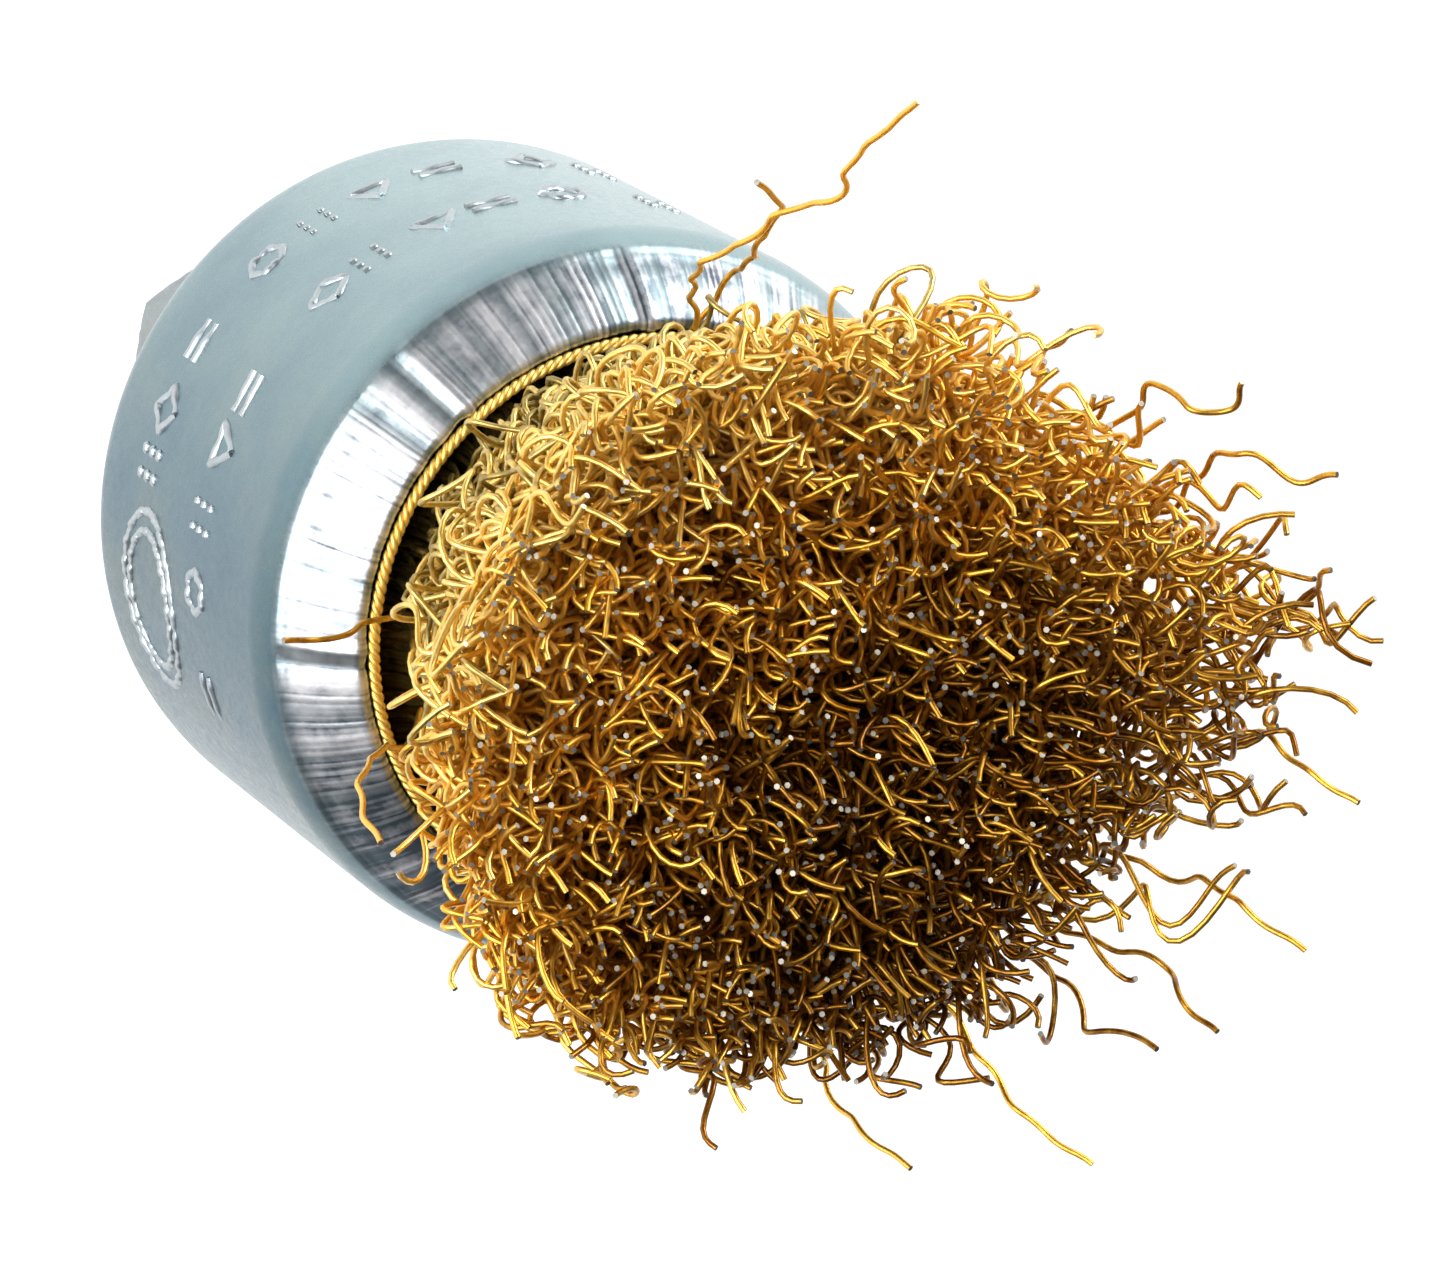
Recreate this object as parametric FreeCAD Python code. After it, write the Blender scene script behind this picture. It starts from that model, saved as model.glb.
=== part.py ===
"""Crimped wire cup brush with an M14 drive nut, as separate pieces.

Millimetres. The origin is the centre of the drive nut's rear face, where the tool's spindle shoulder
seats, and +Z runs along the spindle axis towards the wire tips. The brush stands on its nut.
"""
import FreeCAD, Part
import math
import os

from FreeCAD import Vector

# Drive nut: M14 x 2 thread, drawn as a plain bore at the tap radius
NUT_ACROSS_FLATS = 22.0
NUT_HEIGHT = 15.0
THREAD_BORE_R = 6.0
NUT_CHAMFER = 1.6
NUT_CORNER_AZIMUTH = 90.0
SPIGOT_R = 8.0
STAKE_R = 9.2
STAKE_HEIGHT = 0.9

# Cup: one deep-drawn sheet, its mouth swaged inwards over the wires
SHEET = 1.0
CUP_R = 18.6
CUP_HEIGHT = 29.0
BACK_BEND_R = 2.5
SHOULDER_R = 4.5
SWAGE_ANGLE = 42.0
MOUTH_R = 14.4

# Plates and rings that hold the wires inside the cup
FIT_GAP = 0.05
WASHER_R = 12.5
WASHER_THICKNESS = 1.5
PLATE_R = 17.3
PLATE_THICKNESS = 1.2
HAIRPIN_DEPTH = 0.7
RETAINING_RING_R = 12.4
RETAINING_RING_WIRE_R = 1.2
CORE_RING_R = 5.4
CORE_RING_WIRE_R = 0.9
MOUTH_RING_R = 13.9
MOUTH_RING_WIRE_R = 0.4

# Wire tufts: bundles of crimped wire that flare from the mouth to the face
WIRE_R = 0.15
TUFT_GAP = 0.12
OUTER_TUFTS = 12
INNER_TUFTS = 6
TUFT_OUTSIDE_R = (17.3, 13.1, 19.2)
TUFT_MIDDLE_R = (9.2, 9.0, 12.8)
TUFT_CENTRE_R = (4.2, 4.4, 6.2)
FACE_HEIGHT = 66.0
FACE_TILT = 2.0
FACE_HIGH_AZIMUTH = 170.0

# Stray wires that stand out of the bundle: points as (radius, azimuth in degrees, height)
STRAY_ROUTES = {
    "stray_wire_01": [(12.0, -156, 42.0), (14.3, -153, 45.4), (17.4, -145, 49.0), (20.3, -140, 54.0),
                      (22.0, -142, 57.5), (24.0, -143.5, 60.5), (25.3, -146, 64.0), (27.7, -144.5, 67.0),
                      (31.4, -145.5, 72.5)],
    "stray_wire_02": [(12.0, -151, 42.5), (15.0, -151, 45.8), (18.2, -152, 48.5), (19.8, -150, 52.0),
                      (21.4, -147, 55.0), (23.6, -146, 58.0), (25.4, -141, 60.0)],
    "stray_wire_03": [(11.8, -65, 42.0), (13.6, -64, 45.2), (15.3, -64, 46.5), (17.0, -62, 47.2),
                      (18.9, -61, 47.3), (20.5, -61.5, 48.0)],
    "stray_wire_04": [(12.2, -40, 44.0), (14.2, -38, 46.5), (16.3, -45, 50.0), (19.0, -46.5, 54.0),
                      (20.2, -45, 57.0), (20.6, -43.5, 60.0)],
    "stray_wire_05": [(14.5, -170, 50.0), (17.8, -164, 56.0), (19.0, -167, 58.5), (20.0, -165, 60.5),
                      (21.0, -167, 63.0)],
    "stray_wire_06": [(15.0, -178, 52.0), (17.9, -179, 57.0), (19.4, 179, 60.5), (20.6, -179, 63.5),
                      (21.8, -176, 66.5)],
    "stray_wire_07": [(15.5, 170, 54.0), (18.9, 168, 60.0), (19.9, 165, 62.5), (21.0, 167, 64.5),
                      (22.4, 169, 65.5), (22.4, 166.5, 67.8), (23.6, 164, 68.8), (24.6, 167, 70.0)],
    "stray_wire_08": [(16.5, 148, 58.0), (20.6, 149, 62.0), (22.0, 155, 65.0), (23.2, 158, 68.0),
                      (24.3, 153, 69.5), (25.6, 153, 71.5)],
    "stray_wire_09": [(17.0, 117, 58.0), (21.6, 117, 62.0), (23.0, 119, 65.0), (23.6, 117, 68.0),
                      (25.4, 115, 70.5)],
    "stray_wire_10": [(17.0, 98, 58.0), (21.6, 98, 62.0), (22.4, 100, 65.0), (23.2, 99, 67.8),
                      (25.4, 98, 70.2)],
    "stray_wire_11": [(16.0, 86, 54.0), (20.6, 85, 58.0), (22.2, 87, 61.0), (23.4, 88.5, 63.8),
                      (23.6, 86, 66.0), (24.6, 85.5, 68.5)],
    "stray_wire_12": [(15.5, 78, 52.0), (20.4, 79, 56.0), (22.6, 80, 59.0), (23.6, 77, 61.5),
                      (23.6, 79.5, 63.7), (24.2, 80, 66.0)],
    "stray_wire_13": [(15.0, 68, 50.0), (20.0, 68, 54.0), (23.6, 66.5, 57.6), (25.8, 66, 60.4),
                      (28.3, 68, 63.0)],
    "stray_wire_14": [(14.5, 52, 48.0), (18.8, 52, 52.0), (21.4, 48, 55.5), (22.6, 48, 59.0),
                      (23.8, 50, 62.0)],
}

# Heights that follow from the stack of pieces
CUP_BACK = NUT_HEIGHT
CUP_LIP = CUP_BACK + CUP_HEIGHT
WASHER_BACK = CUP_BACK + SHEET
STAKE_BACK = WASHER_BACK + WASHER_THICKNESS
PLATE_BACK = STAKE_BACK + STAKE_HEIGHT
WIRE_BACK = PLATE_BACK + PLATE_THICKNESS
RING_BACK = WIRE_BACK + HAIRPIN_DEPTH
TUFT_WALL_TOP = CUP_LIP - 5.5
TUFT_NECK = CUP_LIP - 1.0
Z_AXIS = Vector(0, 0, 1)
ORIGIN = Vector(0, 0, 0)


def polar(radius, azimuth, height):
    """A point from its radius, its azimuth in degrees and its height."""
    angle = math.radians(azimuth)
    return Vector(radius * math.cos(angle), radius * math.sin(angle), height)


def ring_arc(centre, radius, start, end):
    """An arc in the XZ plane, with its angles in degrees from +X towards +Z."""
    middle = (start + end) / 2
    points = []
    for angle in (start, middle, end):
        turn = math.radians(angle)
        points.append(Vector(centre[0] + radius * math.cos(turn), 0, centre[1] + radius * math.sin(turn)))
    return Part.Arc(*points).toShape()


def joined(edges):
    """The edges in order, with a straight edge across each gap, as one closed face."""
    closed = []
    for index, edge in enumerate(edges):
        closed.append(edge)
        following = edges[(index + 1) % len(edges)]
        start = edge.valueAt(edge.LastParameter)
        end = following.valueAt(following.FirstParameter)
        if start.distanceToPoint(end) > 1e-6:
            closed.append(Part.LineSegment(start, end).toShape())
    return Part.Face(Part.Wire(closed))


def profile(points):
    """A flat face from (radius, height) corners in the XZ plane."""
    corners = [Vector(radius, 0, height) for radius, height in points]
    return Part.Face(Part.makePolygon(corners + corners[:1]))


def turned(face, angle=360.0):
    """A face of the XZ plane turned about the Z axis."""
    return face.revolve(ORIGIN, Z_AXIS, angle)


def tube(outside, inside, back, height):
    """A round plate with a round hole."""
    body = Part.makeCylinder(outside, height, Vector(0, 0, back))
    return body.cut(Part.makeCylinder(inside, height + 2, Vector(0, 0, back - 1)))


def hex_nut():
    """The drive nut: a chamfered hexagon with a spigot staked over inside the cup."""
    corner_r = NUT_ACROSS_FLATS / math.sqrt(3)
    corners = [polar(corner_r, NUT_CORNER_AZIMUTH + 60 * side, 0) for side in range(6)]
    hexagon = Part.Face(Part.makePolygon(corners + corners[:1])).extrude(Z_AXIS * NUT_HEIGHT)
    chamfer_rise = NUT_CHAMFER * math.tan(math.radians(30))
    envelope = turned(profile([
        (0, 0),
        (corner_r - NUT_CHAMFER, 0),
        (corner_r, chamfer_rise),
        (corner_r, NUT_HEIGHT - chamfer_rise),
        (corner_r - NUT_CHAMFER, NUT_HEIGHT),
        (0, NUT_HEIGHT),
    ]))
    spigot = turned(profile([
        (0, NUT_HEIGHT - 1),
        (SPIGOT_R, NUT_HEIGHT - 1),
        (SPIGOT_R, STAKE_BACK),
        (STAKE_R, STAKE_BACK),
        (STAKE_R - 0.3, PLATE_BACK),
        (0, PLATE_BACK),
    ]))
    bore = Part.makeCylinder(THREAD_BORE_R, PLATE_BACK + 2, Vector(0, 0, -1))
    return hexagon.common(envelope).fuse(spigot).cut(bore).removeSplitter()


def cup_shell():
    """The drawn cup: flat back, straight wall, rounded shoulder and swaged lip with a round edge."""
    hole_r = SPIGOT_R + FIT_GAP
    back_bend = (CUP_R - BACK_BEND_R, CUP_BACK + BACK_BEND_R)
    edge_r = SHEET / 2
    lip_centre = (MOUTH_R + edge_r, CUP_LIP - edge_r)
    swage = math.radians(SWAGE_ANGLE)
    cone_r = CUP_R - SHOULDER_R * (1 - math.cos(swage)) - (lip_centre[0] + edge_r * math.cos(swage))
    shoulder_top = lip_centre[1] + edge_r * math.sin(swage) - cone_r / math.tan(swage)
    shoulder = (CUP_R - SHOULDER_R, shoulder_top - SHOULDER_R * math.sin(swage))
    hole_back = Vector(hole_r, 0, CUP_BACK)
    hole_front = Vector(hole_r, 0, CUP_BACK + SHEET)
    face = joined([
        ring_arc(back_bend, BACK_BEND_R, -90, 0),
        ring_arc(shoulder, SHOULDER_R, 0, SWAGE_ANGLE),
        ring_arc(lip_centre, edge_r, SWAGE_ANGLE, SWAGE_ANGLE + 180),
        ring_arc(shoulder, SHOULDER_R - SHEET, SWAGE_ANGLE, 0),
        ring_arc(back_bend, BACK_BEND_R - SHEET, 0, -90),
        Part.LineSegment(hole_front, hole_back).toShape(),
    ])
    return turned(face)


def wire_ring(radius, wire_r, middle, clearance=0.0):
    """A ring of round wire, or with a clearance the room that it needs."""
    return Part.makeTorus(radius, wire_r + clearance, Vector(0, 0, middle))


def holding_parts():
    """The washer, plate and rings that hold the wires in the cup."""
    return {
        "backing_washer": tube(WASHER_R, SPIGOT_R + FIT_GAP, WASHER_BACK, WASHER_THICKNESS),
        "clamp_plate": Part.makeCylinder(PLATE_R, PLATE_THICKNESS, Vector(0, 0, PLATE_BACK)),
        "retaining_ring": wire_ring(RETAINING_RING_R, RETAINING_RING_WIRE_R,
                                    RING_BACK + RETAINING_RING_WIRE_R),
        "core_ring": wire_ring(CORE_RING_R, CORE_RING_WIRE_R, RING_BACK + CORE_RING_WIRE_R),
        "mouth_ring": wire_ring(MOUTH_RING_R, MOUTH_RING_WIRE_R, CUP_LIP - 2 * MOUTH_RING_WIRE_R),
    }


def face_height(azimuth):
    """The height of the wire tips, a little uneven round the brush."""
    return FACE_HEIGHT + FACE_TILT * math.cos(math.radians(azimuth - FACE_HIGH_AZIMUTH))


def flared(radii, height):
    """The radius at a height beyond the mouth of a tuft side that reaches radii[2] at the mean face."""
    return radii[1] + (radii[2] - radii[1]) * (height - TUFT_NECK) / (FACE_HEIGHT - TUFT_NECK)


def tuft(outside, inside, start, span, tip):
    """One bundle of wires: a flared sector from the clamp plate to the wire tips."""
    gap = TUFT_GAP / 2
    outline = [
        (inside[0] + gap, WIRE_BACK),
        (outside[0] - gap, WIRE_BACK),
        (outside[0] - gap, TUFT_WALL_TOP),
        (outside[1] - gap, TUFT_NECK),
        (flared(outside, tip) - gap, tip),
        (flared(inside, tip) + gap, tip),
        (inside[1] + gap, TUFT_NECK),
        (inside[0] + gap, TUFT_WALL_TOP),
    ]
    gap_angle = math.degrees(TUFT_GAP / outside[1])
    bundle = turned(profile(outline), span - gap_angle)
    bundle.rotate(ORIGIN, Z_AXIS, start + gap_angle / 2)
    return bundle


def centre_tuft():
    """The round bundle in the middle."""
    gap = TUFT_GAP / 2
    return turned(profile([
        (0, WIRE_BACK),
        (TUFT_CENTRE_R[0] - gap, WIRE_BACK),
        (TUFT_CENTRE_R[0] - gap, TUFT_WALL_TOP),
        (TUFT_CENTRE_R[1] - gap, TUFT_NECK),
        (TUFT_CENTRE_R[2] - gap, FACE_HEIGHT),
        (0, FACE_HEIGHT),
    ]))


def tufts():
    """The outer ring of tufts, the inner ring and the centre one, hollowed round the holding rings."""
    bundles = {}
    for ring_name, count, outside, inside in (
            ("outer_tuft", OUTER_TUFTS, TUFT_OUTSIDE_R, TUFT_MIDDLE_R),
            ("inner_tuft", INNER_TUFTS, TUFT_MIDDLE_R, TUFT_CENTRE_R)):
        span = 360.0 / count
        for index in range(count):
            azimuth = index * span
            name = "%s_%02d" % (ring_name, index + 1)
            bundles[name] = tuft(outside, inside, azimuth, span, face_height(azimuth + span / 2))
    bundles["centre_tuft"] = centre_tuft()
    retaining = wire_ring(RETAINING_RING_R, RETAINING_RING_WIRE_R,
                          RING_BACK + RETAINING_RING_WIRE_R, FIT_GAP)
    core = wire_ring(CORE_RING_R, CORE_RING_WIRE_R, RING_BACK + CORE_RING_WIRE_R, FIT_GAP)
    for name in bundles:
        ring = retaining if name.startswith("outer") else core
        bundles[name] = bundles[name].cut(ring)
    return bundles


def bent_wire(points, radius):
    """A round wire of straight runs joined by tangent arcs."""
    edges = []
    start = points[0]
    for before, corner, after in zip(points, points[1:], points[2:]):
        back = (before - corner).normalize()
        ahead = (after - corner).normalize()
        turn = math.pi - back.getAngle(ahead)
        setback = 0.45 * min(before.distanceToPoint(corner), corner.distanceToPoint(after))
        bend_r = setback / math.tan(turn / 2)
        inward = (back + ahead).normalize()
        middle = corner + inward * (bend_r / math.cos(turn / 2) - bend_r)
        first = corner + back * setback
        last = corner + ahead * setback
        edges.append(Part.LineSegment(start, first).toShape())
        edges.append(Part.Arc(first, middle, last).toShape())
        start = last
    edges.append(Part.LineSegment(start, points[-1]).toShape())
    path = Part.Wire(edges)
    section = Part.Wire(Part.makeCircle(radius, points[0], points[1] - points[0]))
    return path.makePipeShell([section], True, False)


def stray_wires():
    """Each wire that has bent out of the bundle."""
    wires = {}
    for name, route in STRAY_ROUTES.items():
        wires[name] = bent_wire([polar(*point) for point in route], WIRE_R)
    return wires


def seat_strays(bundles, wires):
    """Make room in the tufts for the roots of the stray wires."""
    for name, bundle in bundles.items():
        for wire in wires.values():
            if bundle.BoundBox.intersect(wire.BoundBox):
                bundle = bundle.cut(wire)
        bundles[name] = max(bundle.Solids, key=lambda solid: solid.Volume)


def build():
    """Every piece of the brush by its node name."""
    pieces = {"hex_nut": hex_nut(), "cup_shell": cup_shell()}
    pieces.update(holding_parts())
    bundles = tufts()
    wires = stray_wires()
    seat_strays(bundles, wires)
    pieces.update(bundles)
    pieces.update(wires)
    return pieces


os.makedirs("parts", exist_ok=True)
for node, piece in build().items():
    solids = piece.Solids
    if len(solids) != 1 or not solids[0].isValid():
        raise ValueError("%s is not one valid solid" % node)
    solids[0].exportStep("parts/%s.step" % node)
    print("%-16s %9.1f mm3" % (node, solids[0].Volume))
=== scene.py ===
"""Crimped wire cup brush with a hexagonal drive nut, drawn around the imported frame.

Lengths are in millimetres, and make_piece() scales them to metres. Heights run along +Z from the nut's
rear face to the wire tips. Azimuths are in degrees about +Z, from +X towards +Y.
"""
import math

import bpy
import numpy as np
from mathutils import Matrix, Vector


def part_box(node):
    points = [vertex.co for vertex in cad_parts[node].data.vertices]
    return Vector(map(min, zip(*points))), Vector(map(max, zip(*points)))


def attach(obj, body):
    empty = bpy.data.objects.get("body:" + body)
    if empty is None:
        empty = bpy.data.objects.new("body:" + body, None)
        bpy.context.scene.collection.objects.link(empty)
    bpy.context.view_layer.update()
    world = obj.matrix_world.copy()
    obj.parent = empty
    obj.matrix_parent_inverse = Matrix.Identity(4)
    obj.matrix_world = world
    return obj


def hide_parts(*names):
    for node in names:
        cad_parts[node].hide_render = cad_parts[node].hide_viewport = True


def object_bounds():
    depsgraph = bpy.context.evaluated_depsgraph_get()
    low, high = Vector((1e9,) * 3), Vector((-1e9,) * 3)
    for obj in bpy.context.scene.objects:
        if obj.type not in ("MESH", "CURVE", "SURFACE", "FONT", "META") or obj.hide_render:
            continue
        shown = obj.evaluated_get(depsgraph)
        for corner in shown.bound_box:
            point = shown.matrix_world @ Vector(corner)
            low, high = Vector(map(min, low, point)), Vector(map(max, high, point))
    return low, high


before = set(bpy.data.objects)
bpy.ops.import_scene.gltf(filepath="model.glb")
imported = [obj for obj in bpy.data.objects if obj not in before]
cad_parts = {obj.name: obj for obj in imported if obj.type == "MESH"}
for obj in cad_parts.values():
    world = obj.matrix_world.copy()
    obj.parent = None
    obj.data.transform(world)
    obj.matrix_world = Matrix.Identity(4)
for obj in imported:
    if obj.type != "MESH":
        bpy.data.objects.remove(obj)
cad_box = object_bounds()

MM = 0.001
SEED = 4127

# Viewing angle
VIEW_TILT = math.radians(29.0)      # between the brush axis and the line of sight
VIEW_ROLL = math.radians(32.26)     # of the brush axis in the picture, below the horizontal
VIEW_TARGET = (-1.5, 3.0, 45.7)     # point in the middle of the picture
VIEW_DISTANCE = 341.0
LENS_WIDTH = 36.0
LENS_LENGTH = 174.4

# Cup
SHEET = 1.0
BACK_BEND_R = 2.5
SHOULDER_R = 4.5
SWAGE_ANGLE = math.radians(42.0)
SWAGE_BULGE = 0.12
MOUTH_R = 14.4
CUP_HOLE_R = 8.05
CUP_COLUMNS = 960
DIE_EDGES = (-10.0, 36.0, 81.0, 126.0, 171.0, -146.0, -106.0, -55.0)

# Nut
THREAD_PITCH = 2.0
THREAD_DEPTH = 1.0
THREAD_R = 6.0
THREAD_STEPS = 16       # for each turn of the thread
REAR_RECESS_R = 7.4
SPIGOT_R = 8.0
STAKE_R = 9.2
STAKE_HEIGHT = 0.9
STAKE_BORE_R = 7.0
NUT_CHAMFER = 1.6
NUT_COLUMNS = 144

# Twisted ring inside the lip
RING_TWISTS = 60
RING_STRANDS = 3
RING_STRAND_R = 0.16
RING_TWIST_R = 0.15
RING_STEPS = 1200
RING_INSET = 0.25
RING_DROP = 0.2

# Wires
WIRE_R = 0.15
WIRE_SIDES = 6
WIRE_COUNT = 1700
COMBED_COUNT = 150
FRINGE_COUNT = 210
CRIMP_LENGTH = 4.1
CRIMP_SWING = 0.84
CRIMP_STEPS = 12
BELLY_R = 17.0          # of the bundle low in the cup
BELLY_TOP = 30.0
NECK_R = 12.9
GAP_AZIMUTH = -38.0     # where the bundle stands furthest from the mouth
GAP_WIDTH = 1.2
GAP_SPREAD = 0.7
FACE_R = 19.2
FACE_LEAN = 2.0
FACE_LEAN_AZIMUTH = 170
WORN_DEPTH = 3.5
WORN_AZIMUTH = 60
FACE_OUTLINE = ((-180, 17.0), (-155, 18.6), (-130, 19.6), (-60, 19.3), (-10, 19.2), (12, 17.6), (30, 16.6),
                (50, 18.4), (70, 19.2), (84, 17.0), (97, 14.6), (110, 18.2), (122, 21.6), (136, 23.0),
                (147, 20.8), (158, 19.2), (172, 17.4))
CENTRE_SHARE = 0.322    # of the bundle's radius
INNER_SHARE = 0.662
OUTER_TUFTS = 12
INNER_TUFTS = 6

# Centre lines of the stray wires as (radius, azimuth, height)
STRAY_ROUTES = [
    [(12.0, -156, 42.0), (14.3, -153, 45.4), (17.4, -145, 49.0), (20.3, -140, 54.0), (22.0, -142, 57.5),
     (24.0, -143.5, 60.5), (25.3, -146, 64.0), (27.7, -144.5, 67.0), (31.4, -145.5, 72.5)],
    [(12.0, -151, 42.5), (15.0, -151, 45.8), (18.2, -152, 48.5), (19.8, -150, 52.0), (21.4, -147, 55.0),
     (23.6, -146, 58.0), (25.4, -141, 60.0)],
    [(11.8, -65, 42.0), (13.6, -64, 45.2), (15.3, -64, 46.5), (17.0, -62, 47.2), (18.9, -61, 47.3),
     (20.5, -61.5, 48.0)],
    [(12.2, -40, 44.0), (14.2, -38, 46.5), (16.3, -45, 50.0), (19.0, -46.5, 54.0), (20.2, -45, 57.0),
     (20.6, -43.5, 60.0)],
    [(14.5, -170, 50.0), (17.8, -164, 56.0), (19.0, -167, 58.5), (20.0, -165, 60.5), (21.0, -167, 63.0)],
    [(15.0, -178, 52.0), (17.9, -179, 57.0), (19.4, -181, 60.5), (20.6, -179, 63.5), (21.8, -176, 66.5)],
    [(15.5, 170, 54.0), (18.9, 168, 60.0), (19.9, 165, 62.5), (21.0, 167, 64.5), (22.4, 169, 65.5),
     (22.4, 166.5, 67.8), (23.6, 164, 68.8), (24.6, 167, 70.0)],
    [(16.5, 148, 58.0), (20.6, 149, 62.0), (22.0, 155, 65.0), (23.2, 158, 68.0), (24.3, 153, 69.5),
     (25.6, 153, 71.5)],
    [(17.0, 117, 58.0), (21.6, 117, 62.0), (23.0, 119, 65.0), (23.6, 117, 68.0), (25.4, 115, 70.5)],
    [(17.0, 98, 58.0), (21.6, 98, 62.0), (22.4, 100, 65.0), (23.2, 99, 67.8), (25.4, 98, 70.2)],
    [(16.0, 86, 54.0), (20.6, 85, 58.0), (22.2, 87, 61.0), (23.4, 88.5, 63.8), (23.6, 86, 66.0),
     (24.6, 85.5, 68.5)],
    [(15.5, 78, 52.0), (20.4, 79, 56.0), (22.6, 80, 59.0), (23.6, 77, 61.5), (23.6, 79.5, 63.7),
     (24.2, 80, 66.0)],
    [(15.0, 68, 50.0), (20.0, 68, 54.0), (23.6, 66.5, 57.6), (25.8, 66, 60.4), (28.3, 68, 63.0)],
    [(14.5, 52, 48.0), (18.8, 52, 52.0), (21.4, 48, 55.5), (22.6, 48, 59.0), (23.8, 50, 62.0)],
]

# Raised marks on the cup wall as (shape, azimuth, height). They stand for nothing in particular.
MARK_STAND = 0.15
MARK_R = 0.27
MARK_SCALE = 1.15
LOWER_MARKS = (("pips", -69), ("diamond", -78), ("dash", -90), ("hexagon", -106), ("pips", -116),
               ("triangle", -126), ("dash", -137), ("diamond", -153), ("pips", -164))
UPPER_MARKS = (("dash", -38), ("hexagon", -55), ("pips", -67), ("triangle", -78), ("dash", -87),
               ("diamond", -107), ("pips", -115), ("triangle", -127), ("dash", -136), ("hexagon", -148),
               ("pips", -164))
POLYGONS = {"triangle": (3, 1.1, 90), "diamond": (4, 1.05, 90), "hexagon": (6, 0.95, 0)}
OVAL_AZIMUTH = -48
OVAL_HEIGHT = 24.0


def node_size(node):
    """A CAD node's lowest and highest corners in millimetres."""
    low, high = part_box(node)
    return low / MM, high / MM


NUT_HIGH = node_size("hex_nut")[1]
CUP_LOW, CUP_HIGH = node_size("cup_shell")
PLATE_TOP = node_size("clamp_plate")[1].z
CUP_R = CUP_HIGH.x
CUP_BACK = CUP_LOW.z
CUP_LIP = CUP_HIGH.z
NUT_FLAT_R = NUT_HIGH.x
FACE_HEIGHT = node_size("centre_tuft")[1].z


# ---------------------------------------------------------------- meshes

def make_piece(name, points, faces, materials, slot, replaced=(), smooth_angle=50.0, chart=None, **values):
    """A mesh piece on the root body.

    faces is a list of (corner array, material index) groups. chart holds the texture position of every
    corner, and values holds numbers for every point.
    """
    mesh = bpy.data.meshes.new(name)
    points = np.asarray(points, float).reshape(-1, 3) * MM
    sizes = np.concatenate([np.full(len(corners), corners.shape[1]) for corners, _ in faces])
    corners = np.concatenate([group.ravel() for group, _ in faces])
    indices = np.concatenate([np.full(len(group), index) for group, index in faces])
    mesh.vertices.add(len(points))
    mesh.vertices.foreach_set("co", points.astype(np.float32).ravel())
    mesh.loops.add(len(corners))
    mesh.loops.foreach_set("vertex_index", corners.astype(np.int32))
    mesh.polygons.add(len(sizes))
    mesh.polygons.foreach_set("loop_start", np.concatenate([[0], np.cumsum(sizes)[:-1]]).astype(np.int32))
    mesh.polygons.foreach_set("material_index", indices.astype(np.int32))
    mesh.update(calc_edges=True)
    mesh.polygons.foreach_set("use_smooth", np.ones(len(sizes), bool))
    mesh.set_sharp_from_angle(angle=math.radians(smooth_angle))
    if chart is not None:
        layer = mesh.uv_layers.new(name="OFBake")
        layer.uv.foreach_set("vector", np.asarray(chart, np.float32).ravel())
    for value_name, numbers in values.items():
        attribute = mesh.attributes.new(value_name, "FLOAT", "POINT")
        attribute.data.foreach_set("value", np.asarray(numbers, np.float32).ravel())
    for material in materials:
        mesh.materials.append(material)
    piece = bpy.data.objects.new(name, mesh)
    bpy.context.scene.collection.objects.link(piece)
    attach(piece, "root")
    if replaced:
        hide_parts(*replaced)
    return piece


def grid_faces(rows, columns, wrap_rows=False):
    """Quads of a grid of points that closes round its columns, and round its rows if asked."""
    row = np.arange(rows if wrap_rows else rows - 1)[:, None]
    column = np.arange(columns)[None, :]
    next_row = (row + 1) % rows
    next_column = (column + 1) % columns
    return np.stack([
        row * columns + column,
        row * columns + next_column,
        next_row * columns + next_column,
        next_row * columns + column,
    ], axis=-1).reshape(-1, 4)


def unit(vectors):
    return vectors / np.linalg.norm(vectors, axis=-1, keepdims=True)


def apart_from(azimuth, degrees):
    """How far azimuths in radians are from one in degrees, between -pi and pi."""
    return np.angle(np.exp(1j * (azimuth - math.radians(degrees))))


def tube_chart(wires, steps, sides):
    """Texture positions for tubes() with ends: one upright strip for each wire, and dots for its ends."""
    side = (np.arange(sides)[None, :, None] + np.array([0, 1, 1, 0])) / sides
    step = (np.arange(steps - 1)[:, None, None] + np.array([0, 0, 1, 1])) / (steps - 1)
    side, step = np.broadcast_arrays(side, step)
    strip = np.stack([0.05 + 0.9 * side, 0.03 + 0.94 * step], axis=-1).reshape(-1, 2)
    turn = np.arange(sides) * 2 * math.pi / sides
    dot = np.stack([0.5 + 0.4 * np.cos(turn), 0.012 * np.sin(turn)], axis=-1)
    charts = []
    for part in (strip, dot + [0, 0.014], dot + [0, 0.986]):
        part = np.broadcast_to(part, (wires, *part.shape)).copy()
        part[..., 0] = (part[..., 0] + np.arange(wires)[:, None]) / wires
        charts.append(part.reshape(-1, 2))
    return np.concatenate(charts)


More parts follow.
